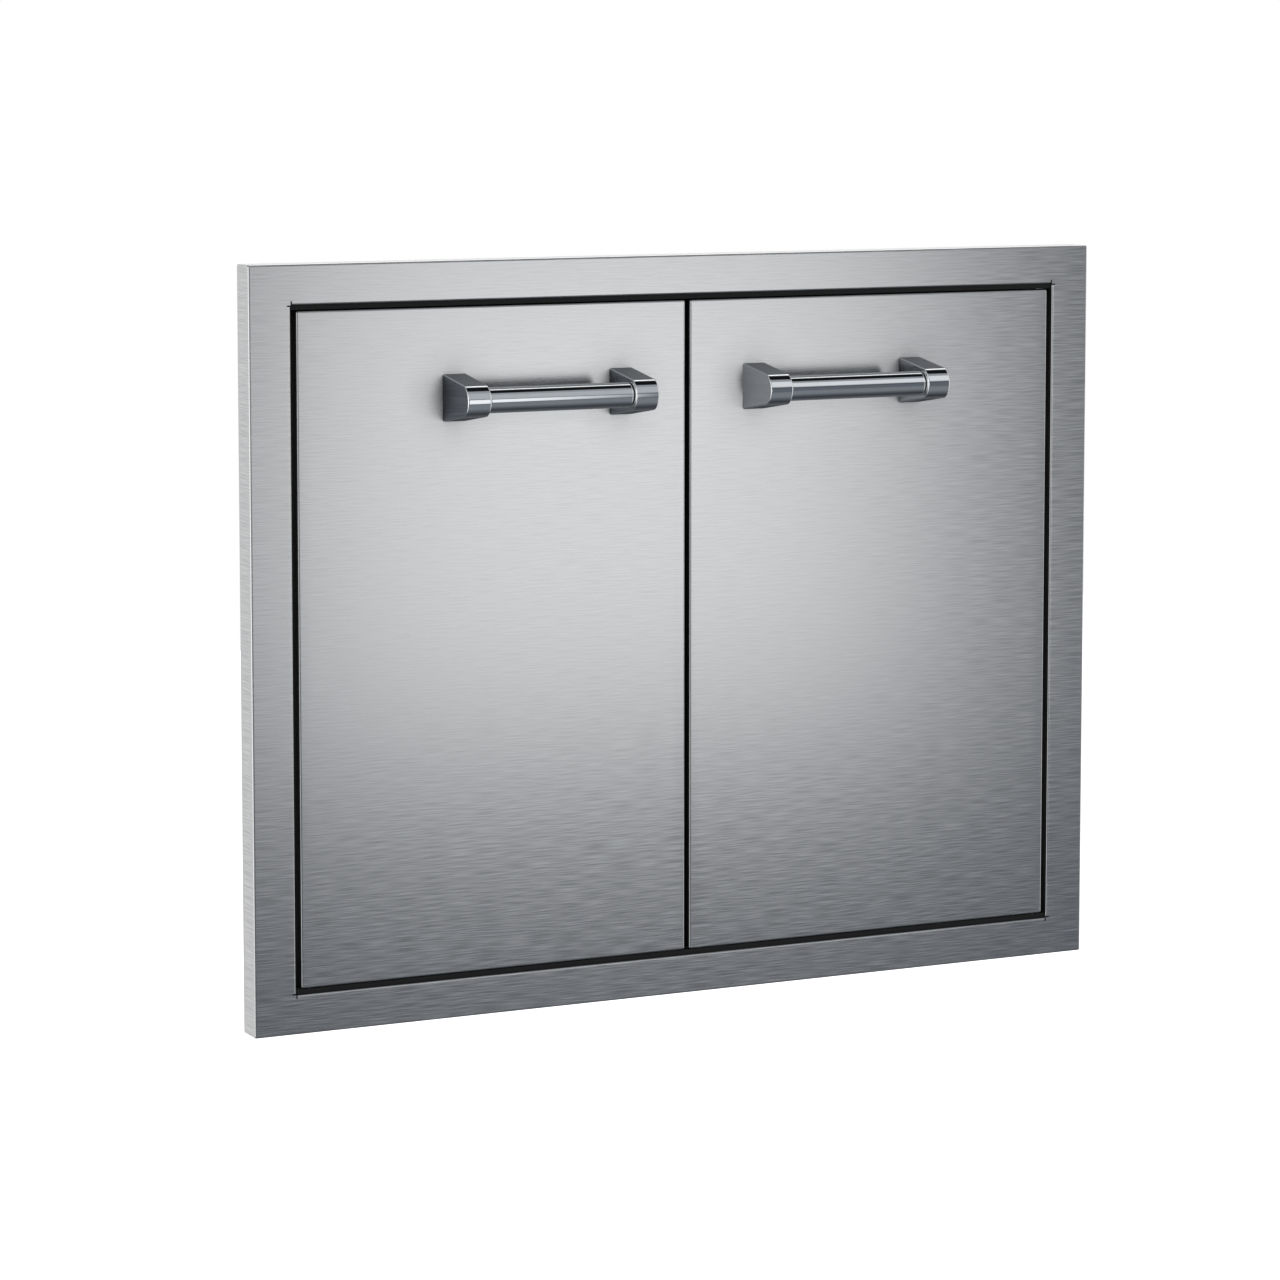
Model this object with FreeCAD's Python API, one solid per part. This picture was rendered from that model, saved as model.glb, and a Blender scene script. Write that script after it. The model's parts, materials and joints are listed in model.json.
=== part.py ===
import FreeCAD, Part
import math
import os

# Access door for a barbecue island: two flush doors in a raised face frame, with a sleeve behind it.
# Millimetres, X to the right, Y into the island, Z up.
# The origin is the middle of the cut-out, in the face of the wall that the frame bears on.
# A depth is measured backwards from the front of the frame, which stands frame_depth off the wall.

vec = FreeCAD.Vector

# Frame
frame_width = 762.0
frame_height = 609.6
frame_depth = 25.4
sheet = 1.2
bend_radius = 1.6
stile_width = 35.0
rail_width = 31.9
rear_lip = 10.0
return_depth = 21.5
relief_width = 1.2
relief_reach = 3.2
relief_depth = 5.0
plug_clearance = 0.05
plug_set_back = 0.3
lining_wall = 0.8
lip_clearance = 0.8
seam_width = 0.35
seam_hole_radius = 0.8

# Sleeve that goes into the cut-out
sleeve_reach = 60.0
sleeve_overlap = 9.5
rear_flange = 12.0
fixing_hole_radius = 2.6
fixing_hole_y = 30.0
side_hole_spacing = 400.0
rail_hole_spacing = 500.0

# Doors
reveal = 4.65
meeting_gap = 4.2
door_thickness = 19.0
hem_thickness = 3.2
hem_width = 13.0
hem_round = 1.55
hem_notch_width = 0.6
hem_notch_reach = 2.8
edge_seal_wall = 2.2
edge_seal_leg = 9.0
edge_seal_set_back = 0.25
meeting_fin = 1.6

# Pivots: from the door's hinge edge, and back from its front
pivot_inset = 16.0
pivot_depth = 9.5
pin_radius = 3.5
running_clearance = 0.05
seat_clearance = 0.02
pin_travel = 12.0
bush_radius = 5.5
bush_flange_radius = 7.0
bush_flange = 1.5
hinge_plate_thickness = 4.0

# Hinge blocks in the door: reach either side of the pivot, heights, bores
block_left = 13.2
block_right = 15.0
upper_block_height = 43.0
lower_block_height = 26.0
guide_length = 12.0
chamber_radius = 5.1
collar_radius = 5.0
collar_height = 3.4
tail_radius = 2.25
plug_height = 4.0
spring_wire = 0.9
spring_mean_radius = 3.7
spring_turns = 7
tab_thickness = 2.0
tab_width = 7.0

# Handles: from the middle of the frame to the handle's middle, and up from the origin
handle_x = 134.0
handle_z = 196.0
handle_length = 167.0
post_width = 20.2
post_base_half = 19.05
post_nose_half = 12.4
post_nose_start = 43.0
post_reach = 50.5
post_edge_radius = 1.1
bar_radius = 10.3
bar_wall = 1.75
bar_forward = 36.5
bar_end_gap = 1.0
spigot_length = 12.0

# Closing parts
stop_depth = 22.5
stop_height = 14.0
stop_half_length = 296.0
rail_half_length = 345.5
seal_clearance = 0.3
seal_drop = 1.3
baffle_clearance = 0.4
catch_x = 40.0
catch_width = 44.0
striker_thickness = 1.0

# Worked out from the above
front = -frame_depth
window_half_width = frame_width / 2 - stile_width
window_half_height = frame_height / 2 - rail_width
door_outer_x = window_half_width - reveal
door_inner_x = meeting_gap / 2
door_half_height = window_half_height - reveal
door_back = front + door_thickness
skin_back = front + hem_thickness
liner_front = door_back - hem_thickness
pivot_x = door_outer_x - pivot_inset
pivot_y = front + pivot_depth
ring_top = door_half_height - edge_seal_set_back - edge_seal_wall
pin_top = window_half_height + sheet + hinge_plate_thickness + 1.4
shoulder_z = ring_top - guide_length
collar_bottom = shoulder_z - 0.1 - collar_height
chamber_end = ring_top - upper_block_height + 3.0
plug_top = chamber_end + plug_height
tab_top = chamber_end - 12.0
nodes = {}


def add(name, *solids):
    """Keeps a node: one solid, or a group of alike solids."""
    nodes[name] = solids[0] if len(solids) == 1 else Part.makeCompound(list(solids))


def add_pair(name, left):
    """Keeps a left-hand node and its mirror image on the right."""
    add("left_" + name, *left)
    add("right_" + name, *[mirrored(solid) for solid in left])


def mirrored(solid):
    return solid.mirror(vec(0, 0, 0), vec(1, 0, 0))


def flipped(solid):
    """Top piece to bottom piece."""
    return solid.mirror(vec(0, 0, 0), vec(0, 0, 1))


def block(x, y, z):
    """A rectangular solid between pairs of limits."""
    size = [abs(limits[1] - limits[0]) for limits in (x, y, z)]
    return Part.makeBox(*size, vec(min(x), min(y), min(z)))


def rod(radius, start, end):
    """A round solid between two points."""
    along = end - start
    return Part.makeCylinder(radius, along.Length, start, along)


def outline(points, radii):
    """A flat closed wire through (u, v) points, each corner rounded by its own radius."""
    corners = [vec(u, v, 0) for u, v in points]
    ends = []
    arcs = []
    for i, corner in enumerate(corners):
        if radii[i] <= 0:
            ends.append((corner, corner))
            arcs.append(None)
            continue
        back = (corners[i - 1] - corner).normalize()
        on = (corners[(i + 1) % len(corners)] - corner).normalize()
        half_angle = back.getAngle(on) / 2
        cut = radii[i] / math.tan(half_angle)
        bisector = (back + on).normalize()
        nearest = corner + bisector * (radii[i] / math.sin(half_angle) - radii[i])
        ends.append((corner + back * cut, corner + on * cut))
        arcs.append(Part.Arc(ends[-1][0], nearest, ends[-1][1]).toShape())
    edges = []
    for i, (start, end) in enumerate(ends):
        if arcs[i]:
            edges.append(arcs[i])
        following = ends[(i + 1) % len(ends)][0]
        if end.distanceToPoint(following) > 1e-6:
            edges.append(Part.LineSegment(end, following).toShape())
    return Part.Wire(edges)


def strip(path, radius=bend_radius):
    """Outline of folded sheet. path is one surface, and the sheet lies on its left."""
    points = [vec(u, v, 0) for u, v in path]
    other = []
    radii = [0.0]
    other_radii = [0.0]
    runs = [(b - a).normalize() for a, b in zip(points, points[1:])]
    lefts = [vec(-run.y, run.x, 0) for run in runs]
    other.append(points[0] + lefts[0] * sheet)
    for i in range(1, len(points) - 1):
        before, after = lefts[i - 1], lefts[i]
        other.append(points[i] + (before + after) * (sheet / (1 + before.dot(after))))
        turns_left = runs[i - 1].cross(runs[i]).z > 0
        radii.append(radius if turns_left else radius - sheet)
        other_radii.append(radius - sheet if turns_left else radius)
    other.append(points[-1] + lefts[-1] * sheet)
    radii.append(0.0)
    other_radii.append(0.0)
    corners = [(p.x, p.y) for p in points + other[::-1]]
    return outline(corners, radii + other_radii[::-1])


def along_x(wire, x0, x1):
    """Extrudes a wire drawn in (y, z) along X."""
    face = Part.Face(wire)
    face.rotate(vec(0, 0, 0), vec(1, 1, 1), 120)
    face.translate(vec(x0, 0, 0))
    return face.extrude(vec(x1 - x0, 0, 0))


def along_z(wire, z0, z1):
    """Extrudes a wire drawn in (x, y) along Z."""
    face = Part.Face(wire)
    face.translate(vec(0, 0, z0))
    return face.extrude(vec(0, 0, z1 - z0))


def turned(profile, base, direction):
    """Revolves (radius, height) points about an axis that starts at base."""
    points = [vec(r, 0, h) for r, h in profile]
    wire = Part.makePolygon(points + [points[0]])
    solid = Part.Face(wire).revolve(vec(0, 0, 0), vec(0, 0, 1), 360)
    solid = Part.Solid(solid) if solid.ShapeType != "Solid" else solid
    solid.Placement = FreeCAD.Placement(base, FreeCAD.Rotation(vec(0, 0, 1), direction))
    return solid


def rounded(solid, radius, wanted):
    """Fillets the edges whose middle passes the test."""
    edges = [edge for edge in solid.Edges if wanted(edge.CenterOfMass)]
    return solid.makeFillet(radius, edges)


def near(value, target):
    return abs(value - target) < 1e-4


def corner_seam(side_x, side_z):
    """Open mitre between two outer returns and their lips, ending in a round relief at the front bend."""
    length = rear_lip * 1.5
    seam_front = front + bend_radius
    slot = block((-1.0, length), (seam_front, 1), (-seam_width / 2, seam_width / 2))
    slot = slot.fuse(rod(seam_hole_radius, vec(-1, seam_front, 0), vec(3, seam_front, 0)))
    slot.rotate(vec(0, 0, 0), vec(0, 1, 0), math.degrees(math.atan2(side_z, -side_x)))
    slot.translate(vec(side_x * frame_width / 2, 0, side_z * frame_height / 2))
    return slot


def corner_bars(side_x, side_z, shrink, depths):
    """A level and an upright bar reaching outwards from a corner of the window, smaller all round by shrink."""
    x, z = side_x * window_half_width, side_z * window_half_height
    in_x, in_z = x - side_x * shrink, z - side_z * shrink
    far_x, far_z = x - side_x * (relief_width - shrink), z - side_z * (relief_width - shrink)
    reach = relief_reach - shrink
    level = block((x + side_x * reach, x), depths, (in_z, far_z))
    upright = block((in_x, far_x), depths, (z + side_z * reach, z))
    return level.fuse(upright)


def inner_relief(side_x, side_z):
    """Slits that part the inner returns' bends at a corner of the window, and the room behind them."""
    x, z = side_x * window_half_width, side_z * window_half_height
    slits = corner_bars(side_x, side_z, 0, (front - 1, front + relief_depth))
    wall, inside = sheet + 0.1, relief_width
    corner_x = (x + side_x * wall, x - side_x * inside)
    corner_z = (z + side_z * wall, z - side_z * inside)
    return slits.fuse(block(corner_x, (front + sheet, front + relief_depth), corner_z))


def face_frame():
    """One folded ring: rear lip, outer return, face, inner return, with reliefs at its corners."""
    half_w, half_h = frame_width / 2, frame_height / 2
    shell = block((-half_w, half_w), (front, 0), (-half_h, half_h))
    shell = rounded(shell, bend_radius, lambda c: True)
    in_w, in_h = half_w - sheet, half_h - sheet
    hollow = block((-in_w, in_w), (front + sheet, -sheet), (-in_h, in_h))
    inner_bend = bend_radius - sheet
    hollow = rounded(hollow, inner_bend, lambda c: True)
    lip_w, lip_h = half_w - rear_lip, half_h - rear_lip
    shell = shell.cut(hollow)
    shell = shell.cut(block((-lip_w, lip_w), (-frame_depth / 2, 1), (-lip_h, lip_h)))
    out_w, out_h = window_half_width + sheet, window_half_height + sheet
    tube = block((-out_w, out_w), (front + sheet / 2, front + return_depth), (-out_h, out_h))
    window = block(
        (-window_half_width, window_half_width),
        (front - 1, 1),
        (-window_half_height, window_half_height),
    )
    ring = shell.fuse(tube).cut(window)
    for side_x in (-1, 1):
        for side_z in (-1, 1):
            ring = ring.cut(inner_relief(side_x, side_z))
    ring = ring.removeSplitter()

    def inner_front_edge(c):
        on_side = near(abs(c.x), window_half_width) and abs(c.z) < 1
        on_rail = near(abs(c.z), window_half_height) and abs(c.x) < 1
        return near(c.y, front) and (on_side or on_rail)

    ring = rounded(ring, bend_radius, inner_front_edge)
    for side_x in (-1, 1):
        for side_z in (-1, 1):
            ring = ring.cut(corner_seam(side_x, side_z))
            ring = ring.cut(pivot_hole(side_x, side_z, bush_radius + seat_clearance))
            for hole in hinge_screw_places(side_x, side_z):
                ring = ring.cut(countersink(hole, vec(0, 0, side_z)))
    for place, out in rivet_places():
        ring = ring.cut(rod(1.7, place - out * 3, place + out * 3))
    return ring


def pivot_hole(side_x, side_z, radius):
    low = vec(side_x * pivot_x, pivot_y, side_z * (window_half_height - 2))
    return rod(radius, low, low + vec(0, 0, side_z * 12))


def hinge_screw_places(side_x, side_z):
    """Where the screws pass the frame's return, each side of a pivot."""
    z = side_z * window_half_height
    return [vec(side_x * (pivot_x + step), pivot_y, z) for step in (-18.0, 12.5)]


def rivet_places():
    """Rivets through the inner returns and jambs: the point on the window side, and the way out."""
    y = front + return_depth - 5.0
    places = []
    for side in (-1, 1):
        for z in (-200.0, -70.0, 70.0, 200.0):
            places.append((vec(side * window_half_width, y, z), vec(side, 0, 0)))
        for x in (-250.0, -85.0, 85.0, 250.0):
            places.append((vec(x, y, side * window_half_height), vec(0, 0, side)))
    return places


def stop_rivet_places():
    """Rivets through the stop rails and the top and bottom jambs."""
    y = front + 36.0
    places = []
    for side in (-1, 1):
        for x in (-270.0, -120.0, 120.0, 270.0):
            places.append((vec(x, y, side * window_half_height), vec(0, 0, side)))
    return places


def side_jamb():
    """Left side of the sleeve: a flat web with a rear flange folded into the opening."""
    x = -window_half_width - sheet
    start_y = front + return_depth - sleeve_overlap
    path = [(x + rear_flange, sleeve_reach), (x - sheet, sleeve_reach), (x - sheet, start_y)]
    web_half = window_half_height + sheet
    jamb = along_z(strip(path), -web_half, web_half)
    for z in (-side_hole_spacing / 2, side_hole_spacing / 2):
        jamb = jamb.cut(rod(fixing_hole_radius, vec(x - 5, fixing_hole_y, z), vec(x + 5, fixing_hole_y, z)))
    for place, out in rivet_places():
        if out.x < 0:
            jamb = jamb.cut(rod(1.7, place - out * 4, place + out * 4))
    return jamb


def top_jamb():
    """Top of the sleeve, notched in front round the hinge plates, with a rear flange folded down."""
    z = window_half_height + sheet
    start_y = front + return_depth - sleeve_overlap
    path = [(start_y, z + sheet), (sleeve_reach, z + sheet), (sleeve_reach, z - rear_flange)]
    half = window_half_width + 2 * sheet
    jamb = along_x(strip([(y, v) for y, v in path][::-1]), -half, half)
    for side in (-1, 1):
        notch_x = (side * 290.0, side * (half + 1))
        jamb = jamb.cut(block(notch_x, (start_y - 1, front + return_depth + 1), (z - 1, z + 3)))
        flange_x = (side * (window_half_width + sheet - rear_flange - 0.3), side * (half + 1))
        jamb = jamb.cut(block(flange_x, (sleeve_reach - bend_radius - 1, sleeve_reach + 1), (z - 20, z)))
        hole = vec(side * rail_hole_spacing / 2, fixing_hole_y, z)
        jamb = jamb.cut(rod(fixing_hole_radius, hole - vec(0, 0, 5), hole + vec(0, 0, 5)))
    for place, out in rivet_places() + stop_rivet_places():
        if out.z > 0:
            jamb = jamb.cut(rod(1.7, place - out * 4, place + out * 4))
    return jamb


def raised_over_pivots(solid):
    """The solid, cut off level with the doors' tops where their rear corners swing under it."""
    for side in (-1, 1):
        ends = (side * stop_half_length, side * (rail_half_length + 1))
        hanging = (door_half_height + baffle_clearance, window_half_height - stop_height - 1)
        solid = solid.cut(block(ends, (door_back, front + stop_depth + bend_radius), hanging))
    return solid


def top_stop_rail():
    """Angle behind the top of the doors: one leg along the jamb, one hanging down as the stop."""
    z = window_half_height + sheet
    y = front + stop_depth
    path = [(y + 22.0, z), (y, z), (y, z - sheet - stop_height)]
    rail = raised_over_pivots(along_x(strip(path), -rail_half_length, rail_half_length))
    for place, out in stop_rivet_places():
        if out.z > 0:
            rail = rail.cut(rod(1.7, place - out * 4, place + out * 4))
    return rail


def stop_seal():
    """Rubber strip with a rounded nose, glued to the front of the top stop rail."""
    back_y = front + stop_depth
    nose_y = door_back + seal_clearance
    low, high = window_half_height - stop_height + 1.5, window_half_height - seal_drop
    wire = outline([(back_y, low), (back_y, high), (nose_y, high), (nose_y, low)], [0.3, 0.3, 1.4, 1.4])
    return raised_over_pivots(along_x(wire, -rail_half_length, rail_half_length))


def reveal_seal():
    """Thin lining of the four inner returns, with a lip across the gap above and below the doors.

    Lugs at its corners plug the slits between the returns."""
    low_y, high_y = front + bend_radius + 0.2, front + return_depth - 8.6
    w, h = window_half_width, window_half_height
    in_w, in_h = w - lining_wall, h - lining_wall
    ring = block((-w, w), (low_y, high_y), (-h, h))
    lip_h = door_half_height + lip_clearance
    ring = ring.cut(block((-in_w, in_w), (low_y - 1, high_y + 1), (-lip_h, lip_h)))
    for side_z in (-1, 1):
        above_lip = (side_z * in_h, side_z * (lip_h - 1))
        ring = ring.cut(block((-in_w, in_w), (low_y + lining_wall, high_y + 1), above_lip))
        for side_x in (-1, 1):
            ring = ring.cut(pivot_hole(side_x, side_z, bush_flange_radius + 0.3))
            lug_depths = (front + plug_set_back, front + relief_depth - plug_clearance)
            ring = ring.fuse(corner_bars(side_x, side_z, plug_clearance, lug_depths))
    return ring


def hinge_plate():
    """Upper left plate that backs the frame's return and holds a bush."""
    z0 = window_half_height + sheet
    x0, x1 = -pivot_x - 17.6, -pivot_x + 26.0
    points = [(x0, front + 2.6), (x1, front + 2.6), (x1, front + 19.6), (x0, front + 19.6)]
    plate = along_z(outline(points, [2.0, 5.0, 5.0, 2.0]), z0, z0 + hinge_plate_thickness)
    plate = plate.cut(pivot_hole(-1, 1, bush_radius + seat_clearance))
    for hole in hinge_screw_places(-1, 1):
        plate = plate.cut(countersink(hole, vec(0, 0, 1)))
    return plate


def bush():
    """Upper left flanged bush: its flange lies under the frame's return."""
    bore = pin_radius + running_clearance
    height = bush_flange + sheet + hinge_plate_thickness
    profile = [
        (bore, 0.3),
        (bore + 0.3, 0),
        (bush_flange_radius, 0),
        (bush_flange_radius, bush_flange),
        (bush_radius, bush_flange),
        (bush_radius, height),
        (bore, height),
    ]
    base = vec(-pivot_x, pivot_y, window_half_height - bush_flange)
    return turned(profile, base, vec(0, 0, 1))


def countersunk_screw(place, out, length, radius=2.0, head=3.8):
    """Flat-headed screw whose head ends flush at place and whose shank points along out."""
    profile = [(0, 0), (head, 0), (head, 0.25), (radius, head - radius + 0.25), (radius, length), (0, length)]
    return turned(profile, place, out)


def countersink(place, out):
    """Hole for a countersunk screw, a little larger than the screw."""
    return countersunk_screw(place, out, 14.0, 2.05, 3.85)


def pan_screw(place, out, length, radius, head_radius, head_height, washer=0.0):
    """Dome-headed screw: head behind place, shank along out, with an optional washer under the head."""
    crown = head_radius * 0.72
    profile = [(0, -head_height), (crown, -head_height), (head_radius, -head_height * 0.45)]
    if washer:
        wide = head_radius * 1.35
        profile += [(head_radius, -washer), (wide, -washer), (wide, 0)]
    else:
        profile += [(head_radius, 0)]
    profile += [(radius, 0), (radius, length), (0, length)]
    return turned(profile, place, out)


def rivet(place, out, grip):
    """Blind rivet: low dome on the window side, short set tail outside."""
    profile = [
        (0, -1.0),
        (1.8, -0.9),
        (3.2, -0.3),
        (3.2, 0),
        (1.6, 0),
        (1.6, grip),
        (2.4, grip),
        (2.2, grip + 1.3),
        (0, grip + 1.4),
    ]
    return turned(profile, place, out)


def catch_screw_places():
    """Screws of the two catches, through the top stop rail's leg and the jamb."""
    y = front + 32.0
    return [vec(side * catch_x + step, y, window_half_height) for side in (-1, 1) for step in (-18.0, 18.0)]


def drilled_for_catches(solid):
    """The top jamb and rail alone have the catches' screw holes."""
    for hole in catch_screw_places():
        solid = solid.cut(rod(1.7, hole - vec(0, 0, 5), hole + vec(0, 0, 5)))
    return solid


def catch_housing():
    """Left catch: a moulded body behind the stop flange, its nose reaching forward under it."""
    top = window_half_height
    flange_back = front + stop_depth + sheet + 0.5
    nose_front = door_back + striker_thickness + 0.5
    rear = front + 40.0
    low = top - 28.5
    step = top - stop_height - 1.5
    points = [
        (rear, top),
        (flange_back, top),
        (flange_back, step),
        (nose_front, step),
        (nose_front, low),
        (rear, low),
    ]
    body = along_x(outline(points, [1.5, 0.5, 0.5, 1.5, 2.0, 3.0]), -catch_x - 13.0, -catch_x + 13.0)
    ear_half = catch_width / 2
    ear_points = [
        (-catch_x - ear_half, front + 27.0),
        (-catch_x + ear_half, front + 27.0),
        (-catch_x + ear_half, front + 37.0),
        (-catch_x - ear_half, front + 37.0),
    ]
    ears = along_z(outline(ear_points, [3.0] * 4), top - 3.0, top)
    body = body.fuse(ears).removeSplitter()
    pocket = block(
        (-catch_x - 10.5, -catch_x + 10.5),
        (nose_front - 1, nose_front + 12.0),
        (low + 2.5, step - 2.0),
    )
    body = body.cut(pocket)
    for hole in catch_screw_places():
        body = body.cut(rod(1.7, hole - vec(0, 0, 5), hole + vec(0, 0, 1)))
    return body


def catch_magnet():
    """Left magnet between two pole plates that stand a little out of the nose."""
    nose_front = door_back + striker_thickness + 0.5
    low = window_half_height - 28.5 + 2.5
    high = window_half_height - stop_height - 3.5
    x = (-catch_x - 10.4, -catch_x + 10.4)
    core = block(x, (nose_front + 1.0, nose_front + 11.0), (low + 1.6, high - 1.6))
    for z in ((low + 0.1, low + 1.6), (high - 1.6, high - 0.1)):
        core = core.fuse(block(x, (nose_front - 0.3, nose_front + 11.0), z))
    return core.removeSplitter()


def hem_notch(x, z, lean):
    """Slit along the diagonal of a corner, where two hems meet."""
    reach, half_width = hem_notch_reach, hem_notch_width / 2
    slit = block((-reach, reach), (front - 1, skin_back + 1), (-half_width, half_width))
    slit.rotate(vec(0, 0, 0), vec(0, 1, 0), 45 * lean)
    slit.translate(vec(x, 0, z))
    return slit


def hemmed_sheet():
    """Left door's front sheet: its four edges are folded flat behind it, leaving a narrow slot."""
    x = (-door_outer_x, -door_inner_x)
    h = door_half_height
    skin = block(x, (front, skin_back), (-h, h))
    skin = rounded(skin, hem_round, lambda c: near(c.y, front + hem_thickness / 2))
    skin = rounded(skin, hem_round, lambda c: near(c.y, front) or near(c.y, skin_back))
    gap = block(
        (x[0] + sheet, x[1] - sheet),
        (front + sheet, skin_back - sheet),
        (-h + sheet, h - sheet),
    )
    inside = block(
        (x[0] + hem_width, x[1] - hem_width),
        (front + sheet, skin_back + 1),
        (-h + hem_width, h - hem_width),
    )
    skin = skin.cut(gap).cut(inside)
    for side_z in (-1, 1):
        skin = skin.cut(hem_notch(x[0], side_z * h, side_z))
        skin = skin.cut(hem_notch(x[1], side_z * h, -side_z))
    return skin


def handle_post_centres():
    """X of the outer and inner posts of the left handle."""
    step = (handle_length - post_width) / 2
    return -handle_x - step, -handle_x + step


def door_skin():
    skin = hemmed_sheet()
    for x in handle_post_centres():
        skin = skin.cut(rod(3.3, vec(x, front - 1, handle_z), vec(x, skin_back, handle_z)))
    return skin


def tab_slot():
    """Slot in the liner that the release tab travels in."""
    low = tab_top - 4.0 - pin_travel
    return block((-pivot_x - 4.5, -pivot_x + 4.5), (liner_front - 1, door_back + 1), (low, tab_top + 1.5))


def door_liner():
    """The back sheet is the skin's form turned round, with its holes and the tab's slot."""
    liner = hemmed_sheet().mirror(vec(0, front + door_thickness / 2, 0), vec(0, 1, 0))
    for x in handle_post_centres():
        liner = liner.cut(rod(3.3, vec(x, liner_front - 1, handle_z), vec(x, door_back + 1, handle_z)))
    for place in block_screw_places():
        liner = liner.cut(rod(2.1, place - vec(0, 4, 0), place + vec(0, 1, 0)))
    for place in striker_places():
        liner = liner.cut(rod(1.7, place - vec(0, 4, 0), place + vec(0, 1, 0)))
    return liner.cut(tab_slot())


def edge_seal():
    """Channel-shaped rubber ring between the hems, with a fin that narrows the meeting gap."""
    set_back = edge_seal_set_back
    x0, x1 = -door_outer_x + set_back, -door_inner_x - set_back
    h = door_half_height - set_back
    ring = block((x0, x1), (skin_back, liner_front), (-h, h))
    leg = edge_seal_leg
    ring = ring.cut(block((x0 + leg, x1 - leg), (skin_back - 1, liner_front + 1), (-h + leg, h - leg)))
    wall = edge_seal_wall
    groove_y = (skin_back + sheet, liner_front - sheet)
    ring = ring.cut(block((x0 + wall, x1 - wall), groove_y, (-h + wall, h - wall)))
    middle = (skin_back + liner_front) / 2
    fin_points = [(x1 - 1, middle - 2.4), (x1 + meeting_fin, middle - 0.5), (x1 + meeting_fin, middle + 0.5)]
    fin_points.append((x1 - 1, middle + 2.4))
    ring = ring.fuse(along_z(outline(fin_points, [0.0] * 4), -h, h))
    for side in (-1, 1):
        block_x = (-pivot_x - block_left, -pivot_x + block_right)
        block_z = (side * ring_top, side * (ring_top - upper_block_height))
        ring = ring.cut(block(block_x, (skin_back, liner_front), block_z))
        hole = vec(-pivot_x, pivot_y, side * (ring_top - 5))
        ring = ring.cut(rod(collar_radius + 0.3, hole, hole + vec(0, 0, side * 12)))
    return ring.removeSplitter()


def hinge_block(height):
    """Plain body of an upper hinge block, with rounded long edges on its inner side."""
    x0, x1 = -pivot_x - block_left, -pivot_x + block_right
    points = [(x0, skin_back), (x1, skin_back), (x1, liner_front), (x0, liner_front)]
    return along_z(outline(points, [0.0, 2.0, 2.0, 0.0]), ring_top - height, ring_top)


def block_screw_places():
    """Screws through the liner into the upper and lower blocks of the left door."""
    x = -pivot_x + 10.2
    heights = (ring_top - 9.0, ring_top - 34.0, -ring_top + 7.0, -ring_top + 19.0)
    return [vec(x, door_back, z) for z in heights]


def upper_hinge_block():
    """Guide bore for the pin above a wider spring chamber that is open below."""
    solid = hinge_block(upper_block_height)
    top = vec(-pivot_x, pivot_y, ring_top + 1)
    solid = solid.cut(rod(pin_radius + running_clearance, top, vec(top.x, top.y, shoulder_z - 1)))
    chamber = rod(chamber_radius, vec(top.x, top.y, shoulder_z), vec(top.x, top.y, ring_top - upper_block_height - 1))
    solid = solid.cut(chamber)
    return drill_block(solid, block_screw_places()[:2])


def lower_hinge_block():
    solid = flipped(hinge_block(lower_block_height))
    base = vec(-pivot_x, pivot_y, -ring_top - 1)
    solid = solid.cut(rod(pin_radius + seat_clearance, base, vec(base.x, base.y, -ring_top + 20)))
    return drill_block(solid, block_screw_places()[2:])


def drill_block(solid, places):
    for place in places:
        solid = solid.cut(rod(2.05, place - vec(0, 13.2, 0), place))
    return solid


def lower_pivot_pin():
    """Fixed pin: pressed into the block, with a collar that rides on the lower bush's flange."""
    collar_low = -window_half_height + bush_flange + 0.1
    pin_low = -pin_top
    profile = [
        (0, 0),
        (pin_radius - 0.8, 0),
        (pin_radius, 0.8),
        (pin_radius, collar_low - pin_low),
        (collar_radius, collar_low - pin_low),
        (collar_radius, -ring_top - pin_low),
        (pin_radius, -ring_top - pin_low),
        (pin_radius, -ring_top + 18 - pin_low),
        (0, -ring_top + 18 - pin_low),
    ]
    return turned(profile, vec(-pivot_x, pivot_y, pin_low), vec(0, 0, 1))


def release_pin():
    """Sliding pin: chamfered nose, guided shank, collar that the spring pushes on, long tail."""
    base = tab_top - tab_thickness - 3.0
    profile = [
        (0, 0),
        (tail_radius, 0),
        (tail_radius, collar_bottom - base),
        (collar_radius, collar_bottom - base),
        (collar_radius, collar_bottom + collar_height - base),
        (pin_radius, collar_bottom + collar_height - base),
        (pin_radius, pin_top - 1.2 - base),
        (pin_radius - 1.2, pin_top - base),
        (0, pin_top - base),
    ]
    return turned(profile, vec(-pivot_x, pivot_y, base), vec(0, 0, 1))


def spring_plug():
    """Ring screwed into the bottom of the chamber, under the spring."""
    profile = [
        (tail_radius + running_clearance, 0),
        (chamber_radius, 0),
        (chamber_radius, plug_height),
        (tail_radius + running_clearance, plug_height),
    ]
    return turned(profile, vec(-pivot_x, pivot_y, chamber_end), vec(0, 0, 1))


def arc_from(start, tangent, end):
    """The arc that leaves start along tangent and ends at end."""
    chord = end - start
    along = vec(chord).normalize()
    sideways = tangent - along * tangent.dot(along)
    rise = chord.Length / 2 * math.tan(tangent.getAngle(chord) / 2)
    middle = start + chord * 0.5 + sideways.normalize() * rise
    return Part.Arc(start, middle, end).toShape()


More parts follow.
